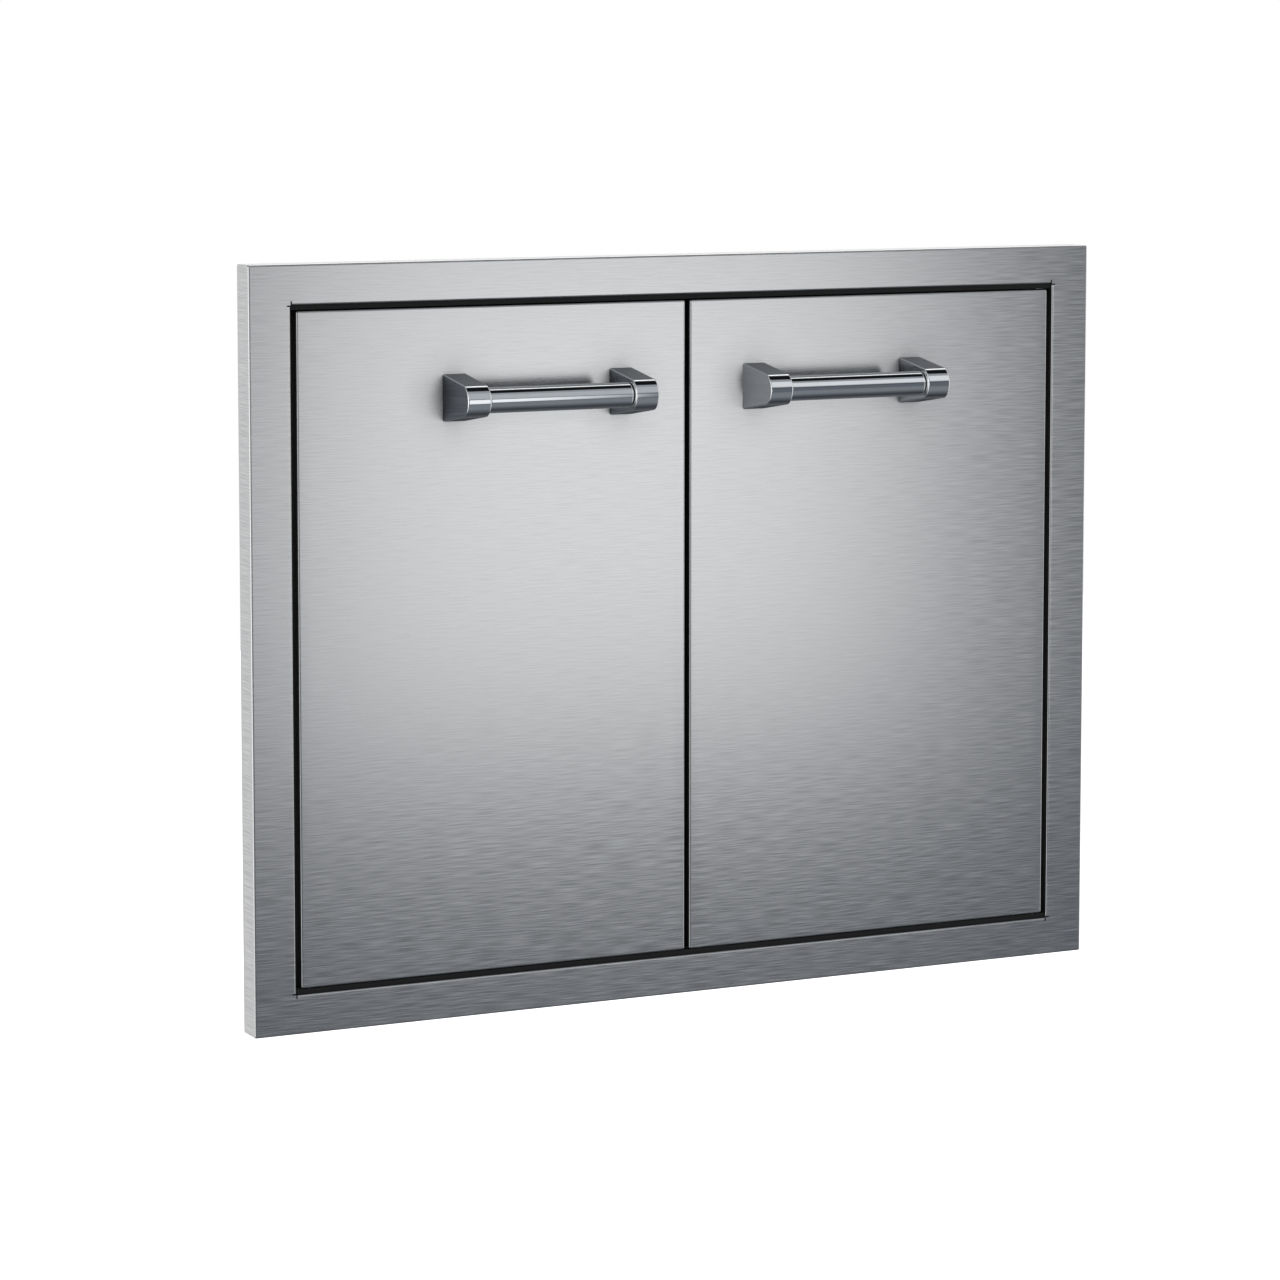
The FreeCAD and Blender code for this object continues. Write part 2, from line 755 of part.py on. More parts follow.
def coil_line(radius, pitch, turns):
    """A helix about Z as pairs of arcs, each pair a quarter turn with the helix's own ends and tangents."""
    slope = math.hypot(2 * math.pi * radius, pitch)
    edges = []
    for i in range(4 * turns):
        ends = []
        tangents = []
        for step in (i, i + 1):
            angle = step * math.pi / 2
            ends.append(vec(radius * math.cos(angle), radius * math.sin(angle), pitch * step / 4))
            flat = 2 * math.pi * radius / slope
            tangents.append(vec(-flat * math.sin(angle), flat * math.cos(angle), pitch / slope))
        gap = ends[1] - ends[0]
        spread = 1 - tangents[0].dot(tangents[1])
        lean = gap.dot(tangents[0] + tangents[1])
        reach = (math.sqrt(lean**2 + 2 * spread * gap.dot(gap)) - lean) / (2 * spread)
        joint = (ends[0] + ends[1] + (tangents[0] - tangents[1]) * reach) * 0.5
        edges.append(arc_from(ends[0], tangents[0], joint))
        edges.append(arc_from(joint, (joint - ends[0] - tangents[0] * reach).normalize(), ends[1]))
    return Part.Wire(edges)


def release_spring():
    """Helical wire between the plug and the pin's collar."""
    wire_radius = spring_wire / 2
    low = plug_top + wire_radius + 0.1
    high = collar_bottom - wire_radius - 0.1
    pitch = (high - low) / spring_turns
    start = vec(spring_mean_radius, 0, 0)
    slope = vec(0, 2 * math.pi * spring_mean_radius, pitch)
    section = Part.Wire(Part.Circle(start, slope, wire_radius).toShape())
    coil = coil_line(spring_mean_radius, pitch, spring_turns).makePipeShell([section], True)
    coil.translate(vec(-pivot_x, pivot_y, low))
    return coil


def release_tab():
    """Finger tab: clamped on the pin's tail, through the liner, turned down behind the door."""
    y0 = pivot_y - 5.0
    y1 = door_back + 7.0
    z = tab_top
    drop = 9.0
    points = [
        (y0, z),
        (y0, z - tab_thickness),
        (y1 - tab_thickness, z - tab_thickness),
        (y1 - tab_thickness, z - drop),
        (y1, z - drop),
        (y1, z),
    ]
    wire = outline(points, [0.5, 0.5, 1.0, 0.9, 0.9, 3.0])
    tab = along_x(wire, -pivot_x - tab_width / 2, -pivot_x + tab_width / 2)
    return tab.cut(rod(tail_radius, vec(-pivot_x, pivot_y, z - 5), vec(-pivot_x, pivot_y, z + 5)))


def door_stiffener():
    """Hat-section rail behind the handle: crown on the skin, feet on the liner."""
    y0, y1 = front + sheet, door_back - 2 * sheet
    crown, foot = 17.0, 14.0
    path = [
        (y1, handle_z - crown - foot),
        (y1, handle_z - crown),
        (y0, handle_z - crown),
        (y0, handle_z + crown),
        (y1, handle_z + crown),
        (y1, handle_z + crown + foot),
    ]
    x0, x1 = -pivot_x + block_right + 2.0, -door_inner_x - hem_width - 1.0
    rail = along_x(strip(path[::-1], 2.4), x0, x1)
    for x in handle_post_centres():
        rail = rail.cut(rod(3.3, vec(x, y0 - 1, handle_z), vec(x, y0 + 4, handle_z)))
    return rail


def handle_spacers():
    """Tubes that keep the handle screws from crushing the door."""
    tubes = []
    for x in handle_post_centres():
        start, end = vec(x, front + 2 * sheet, handle_z), vec(x, door_back - sheet, handle_z)
        tubes.append(rod(6.0, start, end).cut(rod(3.3, start - vec(0, 1, 0), end + vec(0, 1, 0))))
    return tubes


def handle_screws():
    """Screws with washers, from the back of the door into the posts."""
    places = [vec(x, door_back, handle_z) for x in handle_post_centres()]
    length = door_thickness + 18.0
    return [pan_screw(place, vec(0, -1, 0), length, 3.0, 5.5, 4.6, 1.2) for place in places]


def handle_post(x, inwards):
    """Tapered block with a round nose, and a spigot on the side that faces the bar."""
    base_top = vec(0, front, handle_z + post_base_half)
    nose_top = vec(0, front - post_nose_start, handle_z + post_nose_half)
    tip = vec(0, front - post_reach, handle_z)
    nose_low = vec(0, front - post_nose_start, handle_z - post_nose_half)
    base_low = vec(0, front, handle_z - post_base_half)
    side = Part.Wire(
        [
            Part.LineSegment(base_low, base_top).toShape(),
            Part.LineSegment(base_top, nose_top).toShape(),
            Part.Arc(nose_top, tip, nose_low).toShape(),
            Part.LineSegment(nose_low, base_low).toShape(),
        ]
    )
    post = Part.Face(side).extrude(vec(post_width, 0, 0))
    post.translate(vec(x - post_width / 2, 0, 0))
    half = post_width / 2

    def outer_edge(c):
        on_side = near(abs(c.x - x), half) and c.y < front - 0.5
        on_base = near(c.y, front) and near(c.x, x)
        return on_side or on_base

    post = rounded(post, post_edge_radius, outer_edge)
    spigot_x = x + inwards * (half - 1.0)
    start = vec(spigot_x, front - bar_forward, handle_z)
    spigot = rod(bar_radius - bar_wall - running_clearance, start, start + vec(inwards * (spigot_length + 2), 0, 0))
    post = post.fuse(spigot)
    return post.cut(rod(3.05, vec(x, front + 1, handle_z), vec(x, front - 20.0, handle_z)))


def handle_bar():
    """Tube on the posts' spigots, its outer ends rounded, stopping short of the posts."""
    length = handle_length - 2 * post_width - 2 * bar_end_gap
    inner = bar_radius - bar_wall
    points = [(inner, 0), (bar_radius, 0), (bar_radius, length), (inner, length)]
    face = Part.Face(outline(points, [0.0, 1.1, 1.1, 0.0]))
    tube = face.revolve(vec(0, 0, 0), vec(0, 1, 0), 360)
    tube.Placement = FreeCAD.Placement(
        vec(-handle_x - length / 2, front - bar_forward, handle_z),
        FreeCAD.Rotation(vec(0, 1, 0), vec(1, 0, 0)),
    )
    return tube


def striker_places():
    z = window_half_height - 22.0
    return [vec(-catch_x + step, door_back, z) for step in (-17.0, 17.0)]


def striker_plate():
    z = window_half_height - 22.0
    half_w, half_h = catch_width / 2, 6.4
    y0, y1 = door_back, door_back + striker_thickness
    plate = block((-catch_x - half_w, -catch_x + half_w), (y0, y1), (z - half_h, z + half_h))
    plate = rounded(plate, 2.5, lambda c: near(c.y, (y0 + y1) / 2))
    for place in striker_places():
        plate = plate.cut(rod(1.7, place - vec(0, 1, 0), place + vec(0, 3, 0)))
    return plate


def striker_rivets():
    """Rivets with thin heads that sit outside the magnet's width."""
    place_y = vec(0, striker_thickness, 0)
    profile = [(0, -0.4), (2.4, -0.4), (2.8, 0), (1.6, 0), (1.6, 2.2), (2.3, 2.2), (2.2, 3.4), (0, 3.4)]
    return [turned(profile, place + place_y, vec(0, -1, 0)) for place in striker_places()]


def build():
    add("face_frame", face_frame())
    add_pair("jamb", [side_jamb()])
    jamb, rail, seal = top_jamb(), top_stop_rail(), stop_seal()
    add("top_jamb", drilled_for_catches(jamb))
    add("bottom_jamb", flipped(jamb))
    add("top_stop_rail", drilled_for_catches(rail))
    add("bottom_stop_rail", flipped(rail))
    add("top_stop_seal", seal)
    add("bottom_stop_seal", flipped(seal))
    rivets = [rivet(place, out, 2 * sheet) for place, out in rivet_places()]
    rivets += [rivet(place, out, 2 * sheet) for place, out in stop_rivet_places()]
    add("jamb_rivets", *rivets)
    add("reveal_seal", reveal_seal())
    add("upper_hinge_plates", hinge_plate(), mirrored(hinge_plate()))
    add("lower_hinge_plates", flipped(hinge_plate()), mirrored(flipped(hinge_plate())))
    add_pair("upper_bush", [bush()])
    add_pair("lower_bush", [flipped(bush())])
    screws = []
    for side_x in (-1, 1):
        for side_z in (-1, 1):
            for place in hinge_screw_places(side_x, side_z):
                screws.append(countersunk_screw(place, vec(0, 0, side_z), 7.0))
    add("hinge_plate_screws", *screws)
    add_pair("catch_housing", [catch_housing()])
    add("catch_magnets", catch_magnet(), mirrored(catch_magnet()))
    ear_low = vec(0, 0, -3.0)
    up = vec(0, 0, 1)
    add("catch_screws", *[pan_screw(p + ear_low, up, 6.6, 1.65, 3.2, 2.0) for p in catch_screw_places()])

    outer_x, inner_x = handle_post_centres()
    add_pair("door_skin", [door_skin()])
    add_pair("door_liner", [door_liner()])
    add_pair("door_edge_seal", [edge_seal()])
    add_pair("door_stiffener", [door_stiffener()])
    add_pair("upper_hinge_block", [upper_hinge_block()])
    add_pair("lower_hinge_block", [lower_hinge_block()])
    forward = vec(0, -1, 0)
    add_pair("hinge_block_screws", [pan_screw(p, forward, 11.0, 2.0, 3.6, 2.4) for p in block_screw_places()])
    add_pair("lower_pivot_pin", [lower_pivot_pin()])
    add_pair("spring_plug", [spring_plug()])
    add_pair("striker_plate", [striker_plate()])
    add_pair("striker_rivets", striker_rivets())
    add_pair("handle_outer_post", [handle_post(outer_x, 1)])
    add_pair("handle_inner_post", [handle_post(inner_x, -1)])
    add_pair("handle_bar", [handle_bar()])
    add_pair("handle_spacers", handle_spacers())
    add_pair("handle_screws", handle_screws())
    add_pair("release_pin", [release_pin()])
    add_pair("release_tab", [release_tab()])
    add_pair("release_spring", [release_spring()])


def export():
    os.makedirs("parts", exist_ok=True)
    for name, shape in nodes.items():
        shape.exportStep("parts/" + name + ".step")
        solids = len(shape.Solids)
        print(f"{name}: {solids} solid(s), {shape.Volume / 1000:.2f} cm3, valid {shape.isValid()}")
    print(len(nodes), "nodes")


build()
export()
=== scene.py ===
import json
import math
import bmesh
import bpy
import numpy as np
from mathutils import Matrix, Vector


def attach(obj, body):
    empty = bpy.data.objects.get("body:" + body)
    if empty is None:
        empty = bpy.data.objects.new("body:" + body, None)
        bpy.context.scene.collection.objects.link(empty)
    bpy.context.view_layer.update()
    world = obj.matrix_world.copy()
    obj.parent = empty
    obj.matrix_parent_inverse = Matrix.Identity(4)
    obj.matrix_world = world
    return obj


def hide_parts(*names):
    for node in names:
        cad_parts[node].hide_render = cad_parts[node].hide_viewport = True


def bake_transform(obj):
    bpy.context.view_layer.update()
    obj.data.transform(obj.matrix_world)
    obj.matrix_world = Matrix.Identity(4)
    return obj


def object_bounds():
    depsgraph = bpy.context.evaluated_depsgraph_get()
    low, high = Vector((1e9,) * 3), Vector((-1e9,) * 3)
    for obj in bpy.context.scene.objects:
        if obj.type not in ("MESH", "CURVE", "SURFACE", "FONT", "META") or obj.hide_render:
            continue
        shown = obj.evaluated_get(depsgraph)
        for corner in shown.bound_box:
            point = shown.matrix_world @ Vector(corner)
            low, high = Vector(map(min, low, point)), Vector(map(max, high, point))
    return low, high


# Looks of a stainless access door for a barbecue island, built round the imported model.
# X to the right, Y into the island, Z up. The camera and the studio are in metres. The finishes and
# the pieces are in millimetres, and mm turns those into metres.

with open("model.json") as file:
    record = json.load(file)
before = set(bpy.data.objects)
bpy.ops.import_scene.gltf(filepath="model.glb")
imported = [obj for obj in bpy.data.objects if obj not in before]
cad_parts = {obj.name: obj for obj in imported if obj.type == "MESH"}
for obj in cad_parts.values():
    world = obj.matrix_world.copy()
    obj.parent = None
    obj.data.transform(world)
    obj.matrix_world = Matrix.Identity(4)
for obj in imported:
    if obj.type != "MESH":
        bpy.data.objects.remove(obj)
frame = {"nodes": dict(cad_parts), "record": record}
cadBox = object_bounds()
cadNodes = frame["nodes"]
mm = 0.001
sides = {"left": -1, "right": 1}
slotOf = {row["node"]: row["material_slot"] for row in frame["record"]["subparts"]}
bodies = frame["record"]["behaviour"]["bodies"]
bodyOf = {node: body for body, members in bodies.items() for node in members}
print("loaded", len(cadNodes), "nodes")


# Colours and nodes

def hexToLinear(code):
    # each sRGB channel c becomes c / 12.92 below 0.04045, and ((c + 0.055) / 1.055) ^ 2.4 above
    channels = [int(code[i : i + 2], 16) / 255 for i in (0, 2, 4)]
    return [c / 12.92 if c <= 0.04045 else ((c + 0.055) / 1.055) ** 2.4 for c in channels] + [1.0]


def shade(code, factor):
    # the same colour made lighter or darker
    return [min(1.0, c * factor) for c in hexToLinear(code)[:3]] + [1.0]


black, white = hexToLinear("000000"), hexToLinear("FFFFFF")


def addNode(tree, kind, settings=None):
    # settings: a property, or an input by name or number, to a value or to the output that feeds it
    node = tree.nodes.new(kind)
    for key, value in (settings or {}).items():
        if isinstance(value, bpy.types.NodeSocket):
            tree.links.new(value, node.inputs[key])
        elif isinstance(key, int) or key in node.inputs:
            node.inputs[key].default_value = value
        else:
            setattr(node, key, value)
    return node


def calculate(tree, operation, *values):
    # one step of arithmetic
    return addNode(tree, "ShaderNodeMath", {"operation": operation, **dict(enumerate(values))}).outputs[0]


def mixColours(tree, share, low, high):
    # low where share is 0, high where it is 1: the node's colours are its inputs 6 and 7 and its output 2
    return addNode(tree, "ShaderNodeMix", {"data_type": "RGBA", 0: share, 6: low, 7: high}).outputs[2]


def rescale(tree, value, taken=(0.0, 1.0), given=(0.0, 1.0), curve="LINEAR"):
    # value carried from the range taken to the range given, and held at its ends
    settings = {"interpolation_type": curve, "Value": value, "From Min": taken[0], "From Max": taken[1]}
    settings.update({"To Min": given[0], "To Max": given[1]})
    return addNode(tree, "ShaderNodeMapRange", settings).outputs["Result"]


def noise(tree, place, size, detail):
    # soft patches from 0 to 1: their size in millimetres is one number, or one for each axis
    scale = 1.0
    if isinstance(size, tuple):
        settings = {"Scale": [1 / (axis * mm) for axis in size], "Vector": place}
        place = addNode(tree, "ShaderNodeMapping", settings).outputs[0]
    else:
        scale = 1 / (size * mm)
    settings = {"Scale": scale, "Detail": detail, "Vector": place}
    return addNode(tree, "ShaderNodeTexNoise", settings).outputs["Fac"]


def newMaterial(name):
    material = bpy.data.materials.new(name)
    material.use_nodes = True
    material.node_tree.nodes.clear()
    return material, material.node_tree


def finishMaterial(tree, shader):
    addNode(tree, "ShaderNodeOutputMaterial", {"Surface": shader.outputs[0]})


# Camera: fitted to the frame's corners, looking down a little, with a small shift

camera = dict(
    place=(-1.5814, -3.1548, 0.4765),
    pitchDown=5.875,
    turnRight=26.175,
    lens=121.41,
    sensor=36.0,
    shiftY=-0.12,
)


def addCamera():
    data = bpy.data.cameras.new("camera")
    data.lens, data.sensor_width, data.shift_y = camera["lens"], camera["sensor"], camera["shiftY"]
    obj = bpy.data.objects.new("camera", data)
    obj.location = camera["place"]
    obj.rotation_euler = (math.radians(90 - camera["pitchDown"]), 0, -math.radians(camera["turnRight"]))
    bpy.context.scene.collection.objects.link(obj)
    bpy.context.scene.camera = obj
    bpy.context.scene.view_settings.view_transform = "Standard"


addCamera()
print("camera set")


# Studio: softboxes in front, a grey hall round them, and white behind the door and at its sides

studio = dict(
    # what lies round the door's long axis, in degrees up from straight ahead of it
    bands=[
        (-180, "ECEDEE"),
        (-140, "ECEDEE"),
        (-125, "26282B"),
        (-100, "26282B"),
        (-80, "4A4D52"),
        (-62, "666A70"),
        (-50, "7A7E84"),
        (-24, "7A7E84"),
        (-17, "62676F"),
        (4, "62676F"),
        (7, "50545A"),
        (12, "50545A"),
        (15, "B4B7BB"),
        (50, "B4B7BB"),
        (55, "989CA1"),
        (66, "989CA1"),
        (70, "141517"),
        (100, "141517"),
        (107, "FFFFFF"),
        (180, "FFFFFF"),
    ],
    sideways=(0.70, 0.85),  # how far sideways a direction points where the white begins and where it is full
    floorDrop=0.9,
    floorReach=8.0,
    floorTone=0.9,
    floorRoughness=0.9,
    floorGlow=0.8,
)

# a softbox faces the door unless it says otherwise, and fades over its edges, given as shares of its size
softboxes = dict(
    key=dict(centre=(1.38, -3.03, -0.145), size=(1.80, 1.21), glow=1.28, edges=(0.30, 0.12)),
    front=dict(centre=(-0.44, -3.03, 0.02), size=(1.88, 1.26), glow=0.40, edges=(0.12, 0.30)),
    left=dict(centre=(-3.20, -3.03, 0.0), size=(2.20, 1.60), glow=0.50, edges=(0.40, 0.30)),
    rim=dict(centre=(-5.50, 0.50, 0.0), size=(3.00, 3.00), glow=1.4, edges=(0.20, 0.20), facing=(1, 0, 0)),
    over=dict(
        centre=(1.40, 1.90, 2.60), size=(6.00, 2.40), glow=1.0, edges=(0.10, 0.10), facing=(0, -0.63, -0.77)
    ),
    # lights the right door alone, for the side of its post that mirrors it
    cheek=dict(centre=(-1.53, -3.03, -0.08), size=(0.60, 1.00), glow=0.45, edges=(0.10, 0.10)),
    # the handles have their own, because the key would burn out on chrome
    grip=dict(centre=(0.94, -3.03, 0.03), size=(1.12, 1.60), glow=0.90, edges=(0.31, 0.15)),
    canopy=dict(
        centre=(1.57, -2.16, 1.67), size=(1.60, 1.70), glow=0.30, edges=(0.20, 0.10), facing=(0, 0.83, -0.56)
    ),
)


def addWorld():
    # light by direction only: bands by atan2(up, ahead), and white to the sides. the camera sees plain white
    world = bpy.data.worlds.new("studio")
    bpy.context.scene.world = world
    world.use_nodes = True
    tree = world.node_tree
    tree.nodes.clear()
    direction = addNode(tree, "ShaderNodeTexCoord").outputs["Generated"]
    x, y, z = addNode(tree, "ShaderNodeSeparateXYZ", {0: direction}).outputs
    rise = calculate(tree, "ARCTAN2", z, calculate(tree, "MULTIPLY", y, -1.0))
    bands = addNode(tree, "ShaderNodeValToRGB", {0: rescale(tree, rise, (-math.pi, math.pi))})
    stops = bands.color_ramp.elements
    while len(stops) < len(studio["bands"]):
        stops.new(0.5)
    for stop, (angle, code) in zip(stops, studio["bands"]):
        stop.position = (angle + 180) / 360
        stop.color = hexToLinear(code)
    wall = rescale(tree, calculate(tree, "ABSOLUTE", x), studio["sideways"], curve="SMOOTHSTEP")
    hall = mixColours(tree, wall, bands.outputs[0], white)
    seen = addNode(tree, "ShaderNodeLightPath").outputs["Is Camera Ray"]
    background = addNode(tree, "ShaderNodeBackground", {"Color": mixColours(tree, seen, hall, white)})
    addNode(tree, "ShaderNodeOutputWorld", {"Surface": background.outputs[0]})


def addSoftbox(name, box):
    # a lit cloth that fades towards its four edges: glow times the two steps from edge to middle
    width, height = box["size"]
    data = bpy.data.lights.new(name, "AREA")
    data.shape, data.size, data.size_y = "RECTANGLE", width, height
    data.energy = box["glow"] * math.pi * width * height
    data.use_nodes = True
    tree = data.node_tree
    tree.nodes.clear()
    parametric = addNode(tree, "ShaderNodeNewGeometry").outputs["Parametric"]
    across = addNode(tree, "ShaderNodeSeparateXYZ", {0: parametric}).outputs
    steps = []
    for axis, edge in enumerate(box["edges"]):
        fromEdge = calculate(tree, "PINGPONG", across[axis], 0.5)
        steps.append(rescale(tree, fromEdge, (0.0, edge), curve="SMOOTHSTEP"))
    emission = addNode(tree, "ShaderNodeEmission", {"Strength": calculate(tree, "MULTIPLY", *steps)})
    addNode(tree, "ShaderNodeOutputLight", {"Surface": emission.outputs[0]})
    obj = bpy.data.objects.new(name, data)
    obj.location = box["centre"]
    obj.rotation_euler = Vector(box.get("facing", (0, 1, 0))).to_track_quat("-Z", "Y").to_euler()
    obj.visible_camera = False
    bpy.context.scene.collection.objects.link(obj)


def linkSoftbox(name, pieces, state):
    # INCLUDE: the softbox lights these pieces alone, EXCLUDE: it lights all but them
    group = bpy.data.collections.new(name + "Receivers")
    for piece in pieces:
        group.objects.link(piece)
    bpy.data.objects[name + "Softbox"].light_linking.receiver_collection = group
    for member in group.collection_objects:
        member.light_linking.link_state = state


addWorld()
for name, box in softboxes.items():
    addSoftbox(name + "Softbox", box)
print("studio set")


# Finishes: tones are how much darker and lighter than its own colour a finish gets

brushed = dict(
    anisotropy=0.30,
    sheenTurn=0.25,  # a quarter turn, so that reflections are drawn out across the streaks
    # along the grain, across it, and a third that has no effect, as the map is flat. real scratches are
    # 10 to 30 mm long and about 0.1 mm apart, and are drawn coarser so that they show
    grainSize=(24.0, 0.9, 1.0),
    strandSize=(90.0, 3.0, 1.0),
    strandShare=0.10,
    detail=0.0,
    noiseRange=(0.30, 0.80),
    tones=(0.87, 1.13),
    glossSwing=0.03,
    scratchStrength=0.15,
    scratchDepth=0.02,
    shadeSamples=8,
    cornerShadeTone=0.4,  # painted shade: the sheet's colour darkens in corners, as far as cornerReach from what stands there
    cornerReach=35.0,
    footLean=0.8,  # the deeper shade at the foot of what stands on the sheet falls to its left
    footReach=25.0,
    footRange=(0.05, 0.55),
    liftX=48.0,  # the right door's first post stands in brighter light, so the shade at its foot is lifted
    liftRange=(45.0, 22.0),  # from where the lift begins to where it is full
    lift=0.85,
)


def footOpenness(tree):
    # 0 in the deep shade beside what stands on the sheet, 1 on free sheet: occlusion about a normal that
    # leans to the right, and never below the lift, which is full near liftX and gone far from it
    normal = addNode(tree, "ShaderNodeNewGeometry").outputs["Normal"]
    lean = {"operation": "ADD", 0: normal, 1: (brushed["footLean"], 0, 0)}
    leaning = addNode(tree, "ShaderNodeVectorMath", lean).outputs[0]
    leaning = addNode(tree, "ShaderNodeVectorMath", {"operation": "NORMALIZE", 0: leaning}).outputs[0]
    settings = {"samples": brushed["shadeSamples"], "Distance": brushed["footReach"] * mm, "Normal": leaning}
    foot = addNode(tree, "ShaderNodeAmbientOcclusion", settings).outputs["AO"]
    place = addNode(tree, "ShaderNodeTexCoord").outputs["Object"]
    x = addNode(tree, "ShaderNodeSeparateXYZ", {0: place}).outputs["X"]
    away = calculate(tree, "ABSOLUTE", calculate(tree, "SUBTRACT", x, brushed["liftX"] * mm))
    lift = rescale(tree, away, [reach * mm for reach in brushed["liftRange"]], (0.0, brushed["lift"]))
    return rescale(tree, foot, brushed["footRange"], (lift, 1.0))


def stainlessBrushed(name, tone, roughness):
    # grade 304 sheet, belt-brushed along its length: a soft mirror with level streaks, blurred across them
    material, tree = newMaterial(name)
    grain = addNode(tree, "ShaderNodeUVMap", {"uv_map": "grain"}).outputs[0]
    fine = noise(tree, grain, brushed["grainSize"], brushed["detail"])
    strands = noise(tree, grain, brushed["strandSize"], brushed["detail"])
    both = calculate(tree, "MULTIPLY_ADD", strands, brushed["strandShare"], fine)
    spread = rescale(tree, both, brushed["noiseRange"])
    streaked = mixColours(tree, spread, *[shade(tone, factor) for factor in brushed["tones"]])
    # painted shade: occlusion darkens the sheet's colour in corners and round what stands on it
    settings = {"samples": brushed["shadeSamples"], "Distance": brushed["cornerReach"] * mm}
    corners = addNode(tree, "ShaderNodeAmbientOcclusion", settings).outputs["AO"]
    shaded = mixColours(tree, corners, shade(tone, brushed["cornerShadeTone"]), streaked)
    swing = brushed["glossSwing"]
    depth = brushed["scratchDepth"] * mm
    settings = {"Strength": brushed["scratchStrength"], "Distance": depth, "Height": fine}
    bump = addNode(tree, "ShaderNodeBump", settings)
    tangent = addNode(tree, "ShaderNodeTangent", {"direction_type": "UV_MAP", "uv_map": "grain"})
    settings = {
        "Metallic": 1.0,
        "Anisotropic": brushed["anisotropy"],
        "Anisotropic Rotation": brushed["sheenTurn"],
        "Base Color": mixColours(tree, footOpenness(tree), black, shaded),
        "Roughness": rescale(tree, spread, given=(roughness - swing, roughness + swing)),
        "Normal": bump.outputs[0],
        "Tangent": tangent.outputs[0],
    }
    finishMaterial(tree, addNode(tree, "ShaderNodeBsdfPrincipled", settings))
    return material


def cloudyMetal(tree, tone, tones, share, cloud, roughness, swing):
    # bare metal: its tone follows share, and its gloss swings about roughness with the clouds
    settings = {
        "Metallic": 1.0,
        "Base Color": mixColours(tree, share, *[shade(tone, factor) for factor in tones]),
        "Roughness": rescale(tree, cloud, given=(roughness - swing, roughness + swing)),
    }
    finishMaterial(tree, addNode(tree, "ShaderNodeBsdfPrincipled", settings))


mill = dict(
    cloudSize=45.0,
    cloudDetail=3.0,
    lineSize=(60.0, 60.0, 1.6),
    lineDetail=2.0,
    noiseRange=(0.7, 1.3),
    tones=(0.93, 1.06),
    glossSwing=0.05,
)


def stainlessMill(name, tone, roughness):
    # cold-rolled 2B sheet, not brushed: greyer and duller, with faint clouds and roll lines
    material, tree = newMaterial(name)
    place = addNode(tree, "ShaderNodeTexCoord").outputs["Object"]
    cloud = noise(tree, place, mill["cloudSize"], mill["cloudDetail"])
    lines = noise(tree, place, mill["lineSize"], mill["lineDetail"])
    spread = rescale(tree, calculate(tree, "ADD", cloud, lines), mill["noiseRange"])
    cloudyMetal(tree, tone, mill["tones"], spread, cloud, roughness, mill["glossSwing"])
    return material


plain = dict(patch=6.0, detail=4.0, tones=(0.92, 1.06), glossSwing=0.06)


def plainMetal(name, tone, roughness, swing=plain["glossSwing"], patch=plain["patch"]):
    # plated, turned or drawn metal: an even tone, with faint clouds of patch millimetres in colour and gloss
    material, tree = newMaterial(name)
    cloud = noise(tree, addNode(tree, "ShaderNodeTexCoord").outputs["Object"], patch, plain["detail"])
    cloudyMetal(tree, tone, plain["tones"], cloud, cloud, roughness, swing)
    return material


chrome = dict(
    patch=3.0,
    detail=4.0,
    tones=(0.95, 1.04),
    flankNormal=(0.93, 0.975),  # the surface's own upward normal where the flank begins and where it is full
    # painted shade: the flanks' darker tone, and below it the underside's darker tone
    flankShadeTone="8E9196",
    flankDulling=2.0,
    underNormal=(-0.90, -0.97),
    underShadeTone="34363A",
    underMetallic=0.1,
)


def chromedCasting(name, tone, roughness):
    # zinc die casting, chromed: a near mirror on nose and sides, duller on the drafted flanks above and
    # below, told by the surface's own normal. painted shade darkens the flanks' tone, and the lower flank,
    # which never sees the lamps, is painted darker still and matt
    material, tree = newMaterial(name)
    surface = addNode(tree, "ShaderNodeTexCoord").outputs
    cloud = noise(tree, surface["Object"], chrome["patch"], chrome["detail"])
    up = addNode(tree, "ShaderNodeSeparateXYZ", {0: surface["Normal"]}).outputs["Z"]
    flank = rescale(tree, calculate(tree, "ABSOLUTE", up), chrome["flankNormal"])
    under = rescale(tree, up, chrome["underNormal"])
    nose = mixColours(tree, cloud, *[shade(tone, factor) for factor in chrome["tones"]])
    upper = mixColours(tree, flank, nose, hexToLinear(chrome["flankShadeTone"]))
    settings = {
        "Base Color": mixColours(tree, under, upper, hexToLinear(chrome["underShadeTone"])),
        "Roughness": rescale(tree, flank, given=(roughness, roughness * chrome["flankDulling"])),
        "Metallic": rescale(tree, under, given=(1.0, chrome["underMetallic"])),
        "Specular IOR Level": 0.0,
    }
    finishMaterial(tree, addNode(tree, "ShaderNodeBsdfPrincipled", settings))
    return material


moulded = dict(detail=3.0, tones=(0.8, 1.2), gritStrength=0.3, gritDepth=0.1)


def mouldedPlastic(name, tone, roughness, grit):
    # moulded or extruded part: one even colour, its gloss broken up by a fine grit of that many millimetres
    material, tree = newMaterial(name)
    grain = noise(tree, addNode(tree, "ShaderNodeTexCoord").outputs["Object"], grit, moulded["detail"])
    settings = {"Strength": moulded["gritStrength"], "Distance": moulded["gritDepth"] * mm, "Height": grain}
    bump = addNode(tree, "ShaderNodeBump", settings)
    settings = {
        "Base Color": mixColours(tree, grain, *[shade(tone, factor) for factor in moulded["tones"]]),
        "Roughness": roughness,
        "Normal": bump.outputs[0],
    }
    finishMaterial(tree, addNode(tree, "ShaderNodeBsdfPrincipled", settings))
    return material


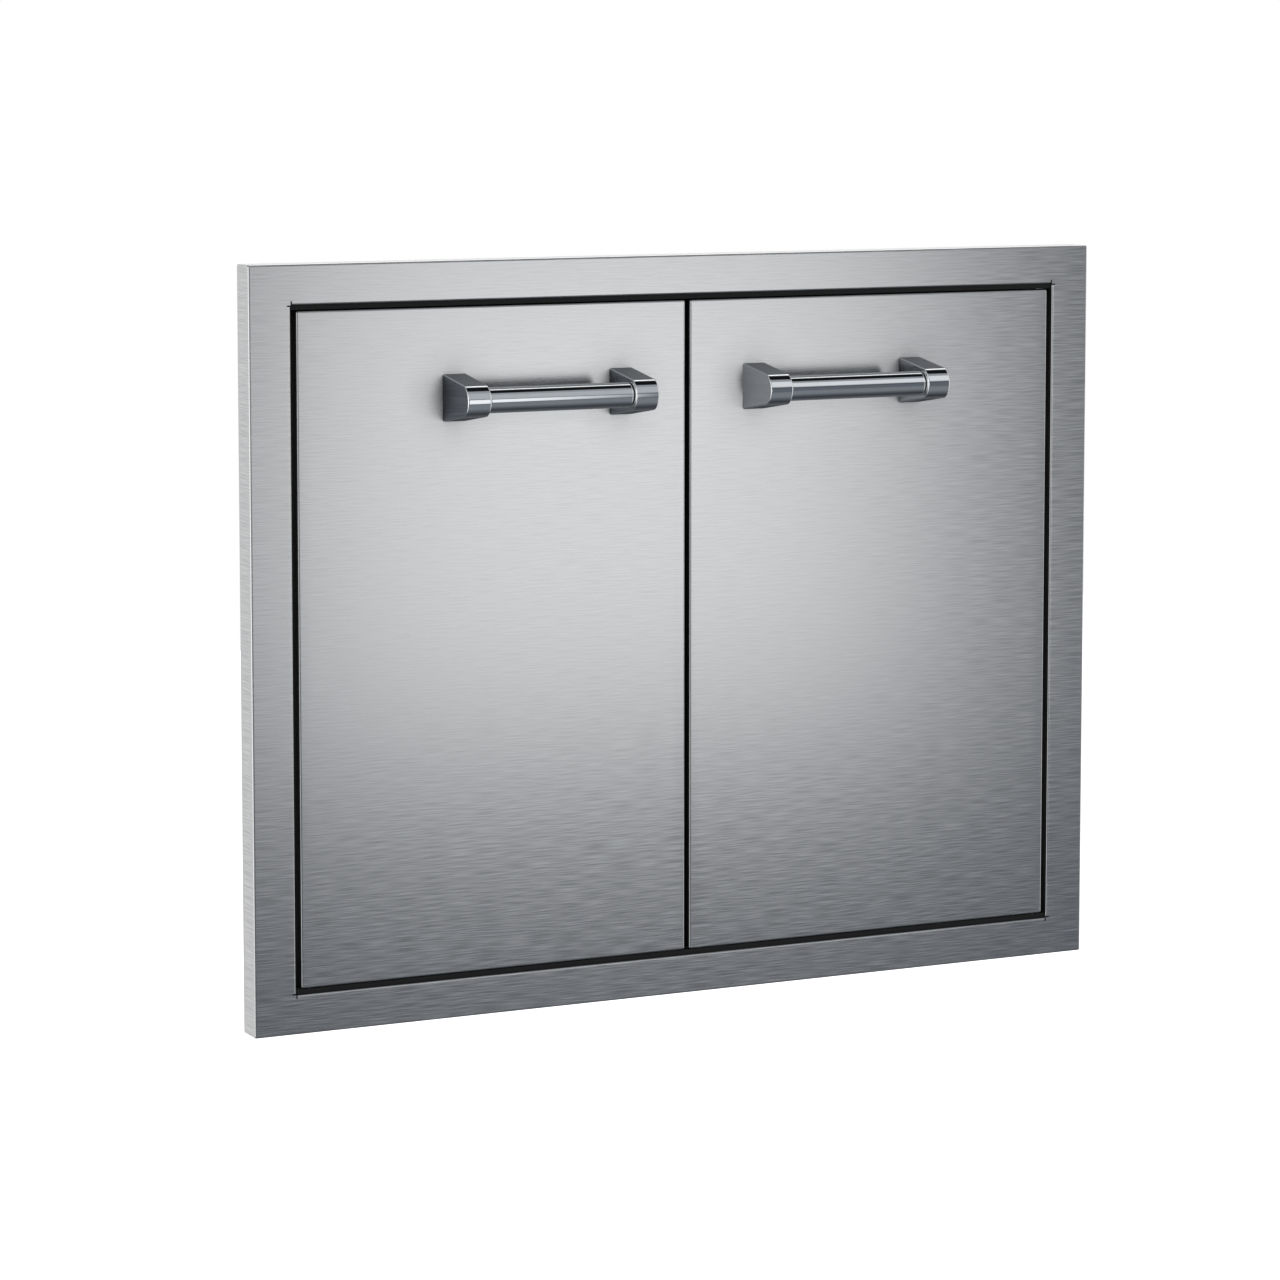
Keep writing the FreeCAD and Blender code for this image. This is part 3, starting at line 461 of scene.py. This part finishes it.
finishes = dict(
    face_sheet=stainlessBrushed("stainlessFaceBrushed", "C8C8C8", 0.22),
    door_sheet=stainlessBrushed("stainlessDoorBrushed", "C8C8C8", 0.22),
    liner_sheet=stainlessMill("stainlessLinerMill", "C2C2C2", 0.34),
    sleeve_sheet=stainlessMill("stainlessSleeveMill", "C0C0C0", 0.36),
    handle_casting=chromedCasting("zincCastingChromed", "ECEEF0", 0.07),
    handle_tube=plainMetal("stainlessTubePolished", "ECEEF0", 0.06, swing=0.02, patch=9.0),
    fastener_steel=plainMetal("stainlessFastenerTumbled", "C0C0BE", 0.30),
    hinge_steel=plainMetal("steelPlateZincPlated", "A8AAAC", 0.38),
    pin_steel=plainMetal("steelPinBlackOxide", "2C2C2E", 0.30),
    tab_steel=plainMetal("stainlessTabFolded", "BCBCBA", 0.30),
    block_alloy=plainMetal("aluminiumBlockBlackAnodised", "1B1C1E", 0.42),
    spring_steel=plainMetal("springWireDrawn", "9C9C9A", 0.28),
    striker_steel=plainMetal("steelStrikerZincPlated", "B0B2B4", 0.36),
    magnet_steel=plainMetal("polePlateNickelled", "8E8E90", 0.30),
    bush_plastic=mouldedPlastic("nylonBushGlassFilled", "161617", 0.5, grit=0.3),
    catch_plastic=mouldedPlastic("absCatchMoulded", "1C1C1E", 0.45, grit=0.25),
    seal_rubber=mouldedPlastic("epdmSealExtruded", "0A0A0A", 0.75, grit=0.2),
)
print("finishes made")


# Making pieces

making = dict(weld=0.002, copyEdgeAngle=28.0, edgeAngle=35.0, normalWeight=100)


def grainMap(mesh):
    # u runs along the sheet's grain and v across it, in metres: grain is X, or Y where a face looks along X
    vertexOf = np.empty(len(mesh.loops), np.int32)
    mesh.loops.foreach_get("vertex_index", vertexOf)
    places = np.empty(len(mesh.vertices) * 3, np.float32)
    mesh.vertices.foreach_get("co", places)
    places = places.reshape(-1, 3)[vertexOf]
    normals = np.empty(len(mesh.polygons) * 3, np.float32)
    mesh.polygons.foreach_get("normal", normals)
    totals = np.empty(len(mesh.polygons), np.int32)
    mesh.polygons.foreach_get("loop_total", totals)
    facing = np.repeat(np.abs(normals.reshape(-1, 3)), totals, axis=0).argmax(1)
    u = np.where(facing == 0, places[:, 1], places[:, 0])
    v = np.where(facing == 2, places[:, 1], places[:, 2])
    layer = mesh.uv_layers.new(name="grain")
    layer.data.foreach_set("uv", np.stack([u, v], 1).astype(np.float32).ravel())


def finishPiece(name, mesh, edgeAngle, nodes, rides=True):
    # joins touching corners, shades smooth up to edgeAngle, and puts the piece in its nodes' place
    work = bmesh.new()
    work.from_mesh(mesh)
    bmesh.ops.remove_doubles(work, verts=work.verts, dist=making["weld"] * mm)
    work.to_mesh(mesh)
    work.free()
    mesh.shade_smooth()
    mesh.set_sharp_from_angle(angle=math.radians(edgeAngle))
    grainMap(mesh)
    piece = bpy.data.objects.new(name, mesh)
    bpy.context.scene.collection.objects.link(piece)
    weighted = piece.modifiers.new("weighted", "WEIGHTED_NORMAL")
    weighted.keep_sharp = True
    weighted.weight = making["normalWeight"]
    mesh.materials.clear()
    mesh.materials.append(finishes[slotOf[nodes[0]]])
    if rides:
        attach(piece, bodyOf[nodes[0]])
    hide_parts(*nodes)
    return piece


def smoothCopy(node):
    # the node's own shape, shaded smooth inside bends and sharp at edges
    return finishPiece(node + "Piece", cadNodes[node].data.copy(), making["copyEdgeAngle"], [node])


def surfacePiece(name, shells, nodes, edgeAngle=making["edgeAngle"], rides=True, ring=False):
    # each shell is a (rows, columns, 3) grid in mm: its columns close on themselves, and its first and last
    # rows are closed by a polygon each, or joined to each other in a ring
    places, faces, start = [], [], 0
    for grid in shells:
        rows, columns = grid.shape[:2]
        points = grid.reshape(-1, 3)
        i, j = np.meshgrid(np.arange(rows if ring else rows - 1), np.arange(columns), indexing="ij")
        up, on = (i + 1) % rows, (j + 1) % columns
        corners = [i * columns + j, i * columns + on, up * columns + on, up * columns + j]
        quads = np.stack(corners, -1).reshape(-1, 4)
        ends = [] if ring else [np.arange(columns)[::-1], np.arange(columns) + (rows - 1) * columns]
        # the sum of the triangles' triple products is six times the volume: negative means inside out
        a, b, c, d = (points[quads[:, k]] for k in range(4))
        volume = (np.cross(a, b) * c).sum() + (np.cross(a, c) * d).sum()
        for end in ends:
            rim = points[end]
            volume += (np.cross(rim[0], rim[1:-1]) * rim[2:]).sum()
        loops = [(quad + start).tolist() for quad in quads] + [(end + start).tolist() for end in ends]
        faces += [loop[::-1] for loop in loops] if volume < 0 else loops
        places.append(points)
        start += rows * columns
    mesh = bpy.data.meshes.new(name)
    mesh.from_pydata((np.concatenate(places) * mm).tolist(), [], faces)
    return finishPiece(name, mesh, edgeAngle, nodes, rides)


def turnedShell(profile, place, axis, columns, twist=0.0):
    # place + radius * (cos t * first + sin t * second) + height * axis, for each (radius, height) of the
    # profile, where first and second are square to the axis and to each other
    axis = np.array(axis, float)
    first = np.cross(axis, (0.0, 0.0, 1.0) if abs(axis[2]) < 0.9 else (1.0, 0.0, 0.0))
    first /= np.linalg.norm(first)
    second = np.cross(axis, first)
    turn = np.linspace(0, 2 * np.pi, columns, endpoint=False) + twist
    radius, height = np.array(profile, float).T
    circle = np.cos(turn)[:, None] * first + np.sin(turn)[:, None] * second
    return np.array(place) + radius[:, None, None] * circle[None] + height[:, None, None] * axis


# where several pieces meet
door = dict(front=-25.4, back=-6.4, pivotX=325.35, pivotY=-15.9)
print("helpers ready")


# Door skins: a front sheet with hemmed edges

skin = dict(
    innerX=2.1,
    outerX=341.35,
    halfHeight=268.25,
    hem=3.2,  # over both layers and the slit between them
    sheet=1.2,
    hemWidth=13.0,
    flatStart=4.0,  # beyond the hem
    foldPoints=13,
    cutRound=0.5,  # the hem's cut edge is rounded behind and nearly sharp inside
    cutMiddle=0.15,
    cutSharp=0.1,
    planCorner=1.55,
    cornerTurns=(0, 16, 32, 45, 58, 74, 90),
    slitTurn=45,  # two hems meet there
    slitInset=2.0,
    edgeAngle=50.0,
)


def doorSkin(side):
    # a hem profile (inset, depth) carried round the door's rounded rectangle: a point is the corner's centre
    # plus (corner radius - inset) towards the turn, or the corner moved in squarely once the inset is larger.
    # halfway round each corner the inset is at least slitInset, which leaves the slit between two hems
    back, wall, end = skin["hem"], skin["sheet"], skin["hemWidth"]
    flat = end + skin["flatStart"]
    long, mid, short = skin["cutRound"], skin["cutMiddle"], skin["cutSharp"]

    def fold(radius):
        turn = np.linspace(-np.pi / 2, np.pi / 2, skin["foldPoints"])
        return np.stack([back / 2 - radius * np.cos(turn), back / 2 + radius * np.sin(turn)], 1)

    cut = [(end - long, back), (end - mid, back - mid), (end, back - long)]
    cut += [(end, back - wall + short), (end - short, back - wall)]
    slot = fold(back / 2 - wall)[::-1]
    profile = np.concatenate([[(flat, 0), (end, 0)], fold(back / 2), cut, slot, [(end, wall), (flat, wall)]])
    turns = np.array(skin["cornerTurns"])
    turn = np.radians(np.concatenate([turns + 90 * quarter for quarter in range(4)]))
    corner = np.repeat([(1, 1), (-1, 1), (-1, -1), (1, -1)], len(turns), axis=0)
    inset = np.maximum(profile[:, :1], np.tile(np.where(turns == skin["slitTurn"], skin["slitInset"], 0), 4))
    radius = skin["planCorner"]
    middle = (skin["innerX"] + skin["outerX"]) / 2
    reach = np.array([(skin["outerX"] - skin["innerX"]) / 2 - radius, skin["halfHeight"] - radius])
    out = np.maximum(radius - inset, 0)[..., None] * np.stack([np.cos(turn), np.sin(turn)], 1)
    square = np.maximum(inset - radius, 0)[..., None] * corner
    plan = corner * reach + out - square
    x = side * (middle + plan[..., 0])
    y = np.broadcast_to(door["front"] + profile[:, 1:], x.shape)
    return np.stack([x, y, plan[..., 1]], -1)


doorSkins = {
    name: surfacePiece(name + "DoorSkin", [doorSkin(side)], [name + "_door_skin"], skin["edgeAngle"])
    for name, side in sides.items()
}
linkSoftbox("cheek", [doorSkins["right"]], "INCLUDE")
print("door skins made")


# Handles: a cast post at each end of a polished tube

handle = dict(
    postX=dict(outer=207.4, inner=60.6),
    height=196.0,
    postWidth=20.2,
    baseHalf=19.05,
    noseHalf=12.4,
    noseStart=43.0,
    noseRadius=14.0,
    nosePoints=21,
    flankPoints=8,
    edge=1.2,  # rounding along both sides of a post
    edgePoints=7,
    baseRound=1.2,
    crease=0.7,
    easePoints=5,
    postEdgeAngle=24.0,
    barForward=36.5,
    barRadius=10.3,
    barWall=1.75,
    barHalf=62.3,
    barRound=1.1,
    roundPoints=6,
    boreBevel=0.3,
    barColumns=72,
    barEdgeAngle=40.0,
    spigotRadius=8.5,
    spigotEnd=22.0,
    spigotBevel=0.6,
    spigotColumns=48,
)
barY = door["front"] - handle["barForward"]


def easedCorner(before, corner, after):
    # quadratic curve: (1 - t)^2 before + 2 t (1 - t) corner + t^2 after
    t = np.linspace(0, 1, handle["easePoints"])[:, None]
    return (1 - t) ** 2 * before + 2 * t * (1 - t) * corner + t**2 * after


def postOutline():
    # (forward, up) from the door: straight flanks between eased corners, and an arc about the bar's axis
    start = math.atan2(handle["noseHalf"], handle["noseStart"] - handle["barForward"])
    turn = np.linspace(start, 0, handle["nosePoints"])
    radius = handle["noseRadius"]
    arc = np.stack([handle["barForward"] + np.cos(turn) * radius, np.sin(turn) * radius], 1)
    crease = np.array([handle["noseStart"], handle["noseHalf"]])
    base = np.array([0.0, handle["baseHalf"]])
    flank = (crease - base) / np.linalg.norm(crease - base)
    foot = easedCorner(base - (0, handle["baseRound"]), base, base + flank * handle["baseRound"])
    bend = easedCorner(crease - flank * handle["crease"], crease, arc[1])
    straight = np.linspace(foot[-1], bend[0], handle["flankPoints"])[1:-1]
    upper = np.concatenate([foot, straight, bend, arc[2:-1]])
    return np.concatenate([upper, arc[-1:], upper[::-1] * (1, -1)])


def handlePost(x):
    # the outline, moved inwards by edge * (1 - cos p) where the width has edge * (1 - sin p) to go
    loop = postOutline()
    run = np.roll(loop, -1, axis=0) - loop
    normal = np.stack([-run[:, 1], run[:, 0]], 1) / np.linalg.norm(run, axis=1)[:, None]
    last = np.roll(normal, 1, axis=0)
    inward = (normal + last) / (1 + (normal * last).sum(1))[:, None]
    inward *= -np.sign((inward * (loop - loop.mean(0))).sum(1).mean())
    inward[[0, -1]] = [(0, -1), (0, 1)]
    p = np.linspace(0, np.pi / 2, handle["edgePoints"])
    sign = np.repeat([-1, 1], len(p))
    p = np.concatenate([p[::-1], p])
    across = sign * (handle["postWidth"] / 2 - handle["edge"] * (1 - np.sin(p)))
    shift = handle["edge"] * (1 - np.cos(p))
    side = loop[None] + shift[:, None, None] * inward[None]
    width = np.broadcast_to(x + across[:, None], side.shape[:2])
    return np.stack([width, door["front"] - np.maximum(side[..., 0], 0), handle["height"] + side[..., 1]], -1)


def spigot(x, inwards):
    # the round stub that the tube is pushed over
    radius, end, bevel = handle["spigotRadius"], handle["spigotEnd"], handle["spigotBevel"]
    profile = [(radius, 0), (radius, end - bevel), (radius - bevel, end)]
    return turnedShell(profile, (x, barY, handle["height"]), (inwards, 0, 0), handle["spigotColumns"])


def handleBar(x):
    # a rounded tube wall turned about the bar's axis
    radius, half, ease = handle["barRadius"], handle["barHalf"], handle["barRound"]
    inner, bevel = radius - handle["barWall"], handle["boreBevel"]
    turn = np.linspace(0, np.pi / 2, handle["roundPoints"])
    far = np.stack([radius - ease + ease * np.cos(turn), half - ease + ease * np.sin(turn)], 1)
    near = (far * (1, -1))[::-1]
    bore = [(inner + bevel, half), (inner, half - bevel), (inner, bevel - half), (inner + bevel, -half)]
    profile = np.concatenate([far, bore, near])
    return turnedShell(profile, (x, barY, handle["height"]), (1, 0, 0), handle["barColumns"])


def addHandle(name, side):
    middle = side * sum(handle["postX"].values()) / 2
    angle = handle["barEdgeAngle"]
    pieces = [surfacePiece(name + "HandleBar", [handleBar(middle)], [name + "_handle_bar"], angle, ring=True)]
    for end, x in handle["postX"].items():
        inwards = -side if end == "outer" else side
        shells = [handlePost(side * x), spigot(side * x, inwards)]
        title, node = f"{name}Handle{end.title()}Post", f"{name}_handle_{end}_post"
        post = surfacePiece(title, shells, [node], handle["postEdgeAngle"])
        post.visible_glossy = False
        pieces.append(post)
    return pieces


handlePieces = {name: addHandle(name, side) for name, side in sides.items()}
linkSoftbox("key", handlePieces["left"] + handlePieces["right"], "EXCLUDE")
linkSoftbox("grip", handlePieces["left"], "INCLUDE")
linkSoftbox("canopy", handlePieces["right"], "INCLUDE")
print("handles made")


# Screws and rivets: a seat is the place that a head or its washer sits on, and the way the shank points

screw = dict(
    columns=48,
    # shares of the head's radius: rings that are close enough to draw the cross, and its arms
    rings=(0.04, *np.linspace(0.12, 0.94, 10), 1.0),
    recessWidth=0.20,
    recessReach=0.62,
    recessWall=0.08,
    recessEnd=0.1,
    recessDepth=0.62,  # share of the head's height
    roundness=0.98,
    sunkRim=0.25,
    washerReach=1.35,
    washerTop=1.3,
    washerBevel=0.1,
    underHead=0.05,
    tipLength=0.8,
    tipShare=0.6,
)
# twist: how far the first cross is turned, and each one after it
blockScrew = dict(head=3.6, headHeight=2.4, shank=2.0, length=11.0, twist=(0.0, 0.7))
handleScrew = dict(head=5.5, headHeight=4.6, shank=3.0, length=37.0, twist=(0.4, 1.0), washer=1.2)
catchScrew = dict(head=3.2, headHeight=2.0, shank=1.65, length=6.6, twist=(0.0, 0.9))
plateScrew = dict(head=3.8, headHeight=2.0, shank=2.0, length=7.0, twist=(0.0, 0.5), sunk=True)
strikerRivet = dict(grip=2.2, height=0.45)
jambRivet = dict(grip=2.4, height=1.0)
rivetColumns = 28
layout = dict(
    blockInset=10.2,
    blockHeights=(256.8, 231.8, -258.8, -246.8),
    catchX=40.0,
    catchScrewHalf=18.0,
    catchY=6.6,
    catchZ=269.9,
    strikerRivetHalf=17.0,
    strikerDepth=1.0,
    strikerHeight=250.9,
    plateSteps=(-18.0, 12.5),
    sleeveX=346.0,
    sleeveZ=272.9,
    # rows of rivets: how deep each row lies, and the places along it
    jambRow=(-8.9, (-200, -70, 70, 200)),
    frameRow=(-8.9, (-250, -85, 85, 250)),
    stopRow=(10.6, (-270, -120, 120, 270)),
)


def crossScrew(place, drive, turn, head, headHeight, shank, length, washer=0.0, sunk=False):
    # a domed or flat head with a cross pressed in, where |a| < width and |b| < reach or the reverse: a and b
    # are places on the head as shares of its radius
    radii = np.array(screw["rings"]) * head
    dome = -headHeight * (0.5 + 0.5 * np.sqrt(1 - (radii / head * screw["roundness"]) ** 2))
    profile = list(zip(radii, 0 * dome if sunk else dome))
    neck = (shank, screw["underHead"])
    if sunk:
        rim = screw["sunkRim"]
        profile += [(head, rim), (shank, head - shank + rim), (shank, head)]
    elif washer:
        wide, top = head * screw["washerReach"], head * screw["washerTop"]
        profile += [(head, -washer), (wide, -washer), (wide, -screw["washerBevel"]), (top, 0), neck]
    else:
        profile += [(head, 0), neck]
    profile += [(shank, length - screw["tipLength"]), (shank * screw["tipShare"], length)]
    shell = turnedShell(profile, place, drive, screw["columns"], turn)
    angle = np.linspace(0, 2 * np.pi, screw["columns"], endpoint=False)
    rho = radii[:, None] / head
    a, b = np.abs(rho * np.cos(angle)), np.abs(rho * np.sin(angle))

    def arm(u, v):
        within = np.clip((screw["recessWidth"] - u) / screw["recessWall"] + 0.5, 0, 1)
        return within * np.clip((screw["recessReach"] - v) / screw["recessEnd"] + 0.5, 0, 1)

    drop = np.maximum(arm(a, b), arm(b, a)) * screw["recessDepth"] * headHeight
    shell[: len(radii)] += drop[..., None] * np.array(drive)
    return shell


def addScrews(name, node, kind, seats):
    # kind's screw on every seat, each cross turned on from the one before
    first, step = kind["twist"]
    sizes = {key: value for key, value in kind.items() if key != "twist"}
    shells = [crossScrew(place, drive, first + step * i, **sizes) for i, (place, drive) in enumerate(seats)]
    surfacePiece(name, shells, [node])


def blindRivet(place, drive, grip, height):
    # a low dome with the broken stem's dimple in it, and the set tail behind
    profile = [
        (0.1, -0.25 * height),
        (0.7, -0.3 * height),
        (0.85, -0.9 * height),
        (1.2, -height),
        (2.2, -0.8 * height),
        (3.0, -0.35 * height),
        (3.2, -0.1),
        (3.2, 0),
        (1.6, 0.02),
        (1.6, grip),
        (2.4, grip + 0.3),
        (2.3, grip + 1.0),
        (1.5, grip + 1.4),
    ]
    return turnedShell(profile, place, drive, rivetColumns)


forward = (0, -1, 0)
signs = (-1, 1)
for name, side in sides.items():
    x = side * (door["pivotX"] - layout["blockInset"])
    seats = [((x, door["back"], z), forward) for z in layout["blockHeights"]]
    addScrews(name + "HingeBlockScrews", name + "_hinge_block_screws", blockScrew, seats)
    seats = [((side * x, door["back"], handle["height"]), forward) for x in handle["postX"].values()]
    addScrews(name + "HandleScrews", name + "_handle_screws", handleScrew, seats)
    across = [side * (layout["catchX"] + end * layout["strikerRivetHalf"]) for end in signs]
    places = [(x, door["back"] + layout["strikerDepth"], layout["strikerHeight"]) for x in across]
    shells = [blindRivet(place, forward, **strikerRivet) for place in places]
    surfacePiece(name + "StrikerRivets", shells, [name + "_striker_rivets"])

across = [side * layout["catchX"] + end * layout["catchScrewHalf"] for side in signs for end in signs]
seats = [((x, layout["catchY"], layout["catchZ"]), (0, 0, 1)) for x in across]
addScrews("catchScrews", "catch_screws", catchScrew, seats)
seats = []
for side in signs:
    for end in signs:
        across = [side * (door["pivotX"] + step) for step in layout["plateSteps"]]
        seats += [((x, door["pivotY"], end * layout["sleeveZ"]), (0, 0, end)) for x in across]
addScrews("hingePlateScrews", "hinge_plate_screws", plateScrew, seats)
seats = []
for side in signs:
    y, row = layout["jambRow"]
    seats += [((side * layout["sleeveX"], y, z), (side, 0, 0)) for z in row]
    for y, row in (layout["frameRow"], layout["stopRow"]):
        seats += [((x, y, side * layout["sleeveZ"]), (0, 0, side)) for x in row]
surfacePiece("jambRivets", [blindRivet(place, drive, **jambRivet) for place, drive in seats], ["jamb_rivets"])
print("fasteners made")


# Springs under the hinge pins

spring = dict(radius=3.7, wire=0.45, turns=7, stepsPerTurn=28, wireSides=10, low=230.35, high=249.75)


def springShell(side):
    # axis + radius * (cos t, sin t), rising evenly with t, with a round wire about it:
    # wire * (cos q away from the axis + sin q square to both that and the run)
    t = np.linspace(0, 2 * np.pi * spring["turns"], spring["turns"] * spring["stepsPerTurn"] + 1)
    q = np.linspace(0, 2 * np.pi, spring["wireSides"], endpoint=False)
    rise = (spring["high"] - spring["low"]) / t[-1]
    outwards = np.stack([np.cos(t), np.sin(t), 0 * t], 1)
    run = np.stack([-np.sin(t) * spring["radius"], np.cos(t) * spring["radius"], rise + 0 * t], 1)
    run /= np.linalg.norm(run, axis=1)[:, None]
    upright = np.cross(run, outwards)
    line = outwards * spring["radius"] + np.stack([0 * t, 0 * t, spring["low"] + rise * t], 1)
    line += (side * door["pivotX"], door["pivotY"], 0)
    wire = np.cos(q)[None, :, None] * outwards[:, None] + np.sin(q)[None, :, None] * upright[:, None]
    return line[:, None] + spring["wire"] * wire


for name, side in sides.items():
    coil = surfacePiece(name + "ReleaseSpring", [springShell(side)], [name + "_release_spring"], rides=False)
    x, y = side * door["pivotX"] * mm, door["pivotY"] * mm
    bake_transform(coil)
print("springs made")


# Everything else keeps the solid's own shape

replaced = {node for node, obj in cadNodes.items() if obj.hide_render}
for node in sorted(set(cadNodes) - replaced):
    smoothCopy(node)
print("copies made")


# Floor

def addFloor():
    # pale painted floor, lit a little by itself, and clear from below
    reach = studio["floorReach"]
    z = cadBox[0].z - studio["floorDrop"]
    mesh = bpy.data.meshes.new("floor")
    corners = [(-reach, -reach, z), (reach, -reach, z), (reach, reach, z), (-reach, reach, z)]
    mesh.from_pydata(corners, [], [(0, 1, 2, 3)])
    floor = bpy.data.objects.new("floor", mesh)
    bpy.context.scene.collection.objects.link(floor)
    material, tree = newMaterial("floorPaintPale")
    settings = {
        "Base Color": shade("FFFFFF", studio["floorTone"]),
        "Roughness": studio["floorRoughness"],
        "Emission Color": white,
        "Emission Strength": studio["floorGlow"],
    }
    paint = addNode(tree, "ShaderNodeBsdfPrincipled", settings).outputs[0]
    clear = addNode(tree, "ShaderNodeBsdfTransparent").outputs[0]
    below = addNode(tree, "ShaderNodeNewGeometry").outputs["Backfacing"]
    finishMaterial(tree, addNode(tree, "ShaderNodeMixShader", {0: below, 1: paint, 2: clear}))
    mesh.materials.append(material)
    floor.visible_glossy = False


addFloor()
